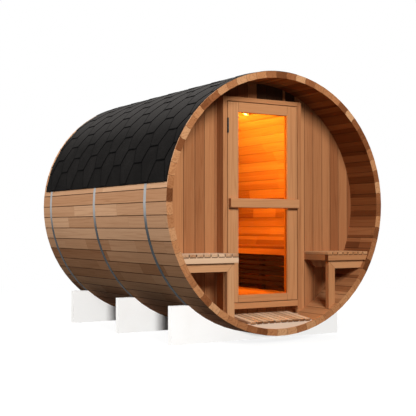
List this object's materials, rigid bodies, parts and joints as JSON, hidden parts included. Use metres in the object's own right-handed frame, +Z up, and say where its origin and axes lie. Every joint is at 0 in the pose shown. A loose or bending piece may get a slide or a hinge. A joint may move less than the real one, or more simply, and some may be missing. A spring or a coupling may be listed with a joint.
{
  "type": "barrel sauna",
  "caption": "Barrel sauna of bead-and-cove staves in steel bands on three cradles, shingled above, with an open porch, two porch benches and a glazed hinged door.",
  "frame": {"origin": "on the ground, under the middle of the barrel's length and width", "axes": "+Z up, +Y along the barrel from the porch to the closed end, +X to the right of someone who faces the door"},
  "size_m": [1.8044, 2.1, 1.8585],
  "materials": {
    "stave_wood": "planed and oiled red cedar, lighter and darker from stave to stave",
    "wall_wood": "planed red cedar boards",
    "frame_wood": "planed red cedar",
    "leaf_wood": "planed red cedar",
    "bench_wood": "planed light cedar",
    "deck_wood": "planed cedar slats",
    "cabin_wood": "planed cedar",
    "pale_board": "matt off-white board",
    "band_steel": "brushed strip steel",
    "shingle": "mineral-faced bitumen felt, near black",
    "door_glass": "clear tempered glass, amber from the light inside",
    "hinge_metal": "black-brown painted steel",
    "lamp_base": "matt plastic",
    "lamp_glass": "opal glass, lit"
  },
  "bodies": {
    "barrel": {"staves_bottom": "stave_wood", "staves_lower_right": "stave_wood", "staves_upper_right": "stave_wood", "staves_crown": "stave_wood", "staves_upper_left": "stave_wood", "staves_lower_left": "stave_wood", "band_front": "band_steel", "band_middle": "band_steel", "band_rear": "band_steel", "cradle_front": "pale_board", "cradle_middle": "pale_board", "cradle_rear": "pale_board", "roof_left": "shingle", "roof_right": "shingle", "ridge_cap": "shingle", "front_wall_left": "wall_wood", "front_wall_right": "wall_wood", "front_wall_over_door": "wall_wood", "front_wall_below_door": "wall_wood", "rear_wall": "wall_wood", "door_jamb_left": "frame_wood", "door_jamb_right": "frame_wood", "door_head": "frame_wood", "door_sill": "frame_wood", "door_hinges_fixed": "hinge_metal", "left_bench_slats": "bench_wood", "left_bench_battens": "bench_wood", "left_bench_frame": "bench_wood", "right_bench_slats": "bench_wood", "right_bench_battens": "bench_wood", "right_bench_frame": "bench_wood", "porch_deck_slats": "deck_wood", "porch_deck_bearer_front": "pale_board", "porch_deck_bearer_rear": "deck_wood", "cabin_floor_boards": "cabin_wood", "cabin_floor_joists": "cabin_wood", "cabin_bench_seat": "cabin_wood", "cabin_bench_fascia": "cabin_wood", "cabin_bench_skirt": "cabin_wood", "cabin_bench_posts": "cabin_wood", "cabin_bench_bearers": "cabin_wood", "cabin_lamp_base": "lamp_base", "cabin_lamp_glass": "lamp_glass"},
    "door": {"door_stiles": "leaf_wood", "door_rails": "leaf_wood", "door_handle": "leaf_wood", "door_glass": "door_glass", "door_hinges_moving": "hinge_metal"}
  },
  "joints": [
    {"name": "door_hinge", "type": "hinge", "parent": "barrel", "child": "door", "pos_m": [-0.3085, -0.851, 0.95], "axis": [0, 0, -1], "range_deg": [0, 90]}
  ]
}
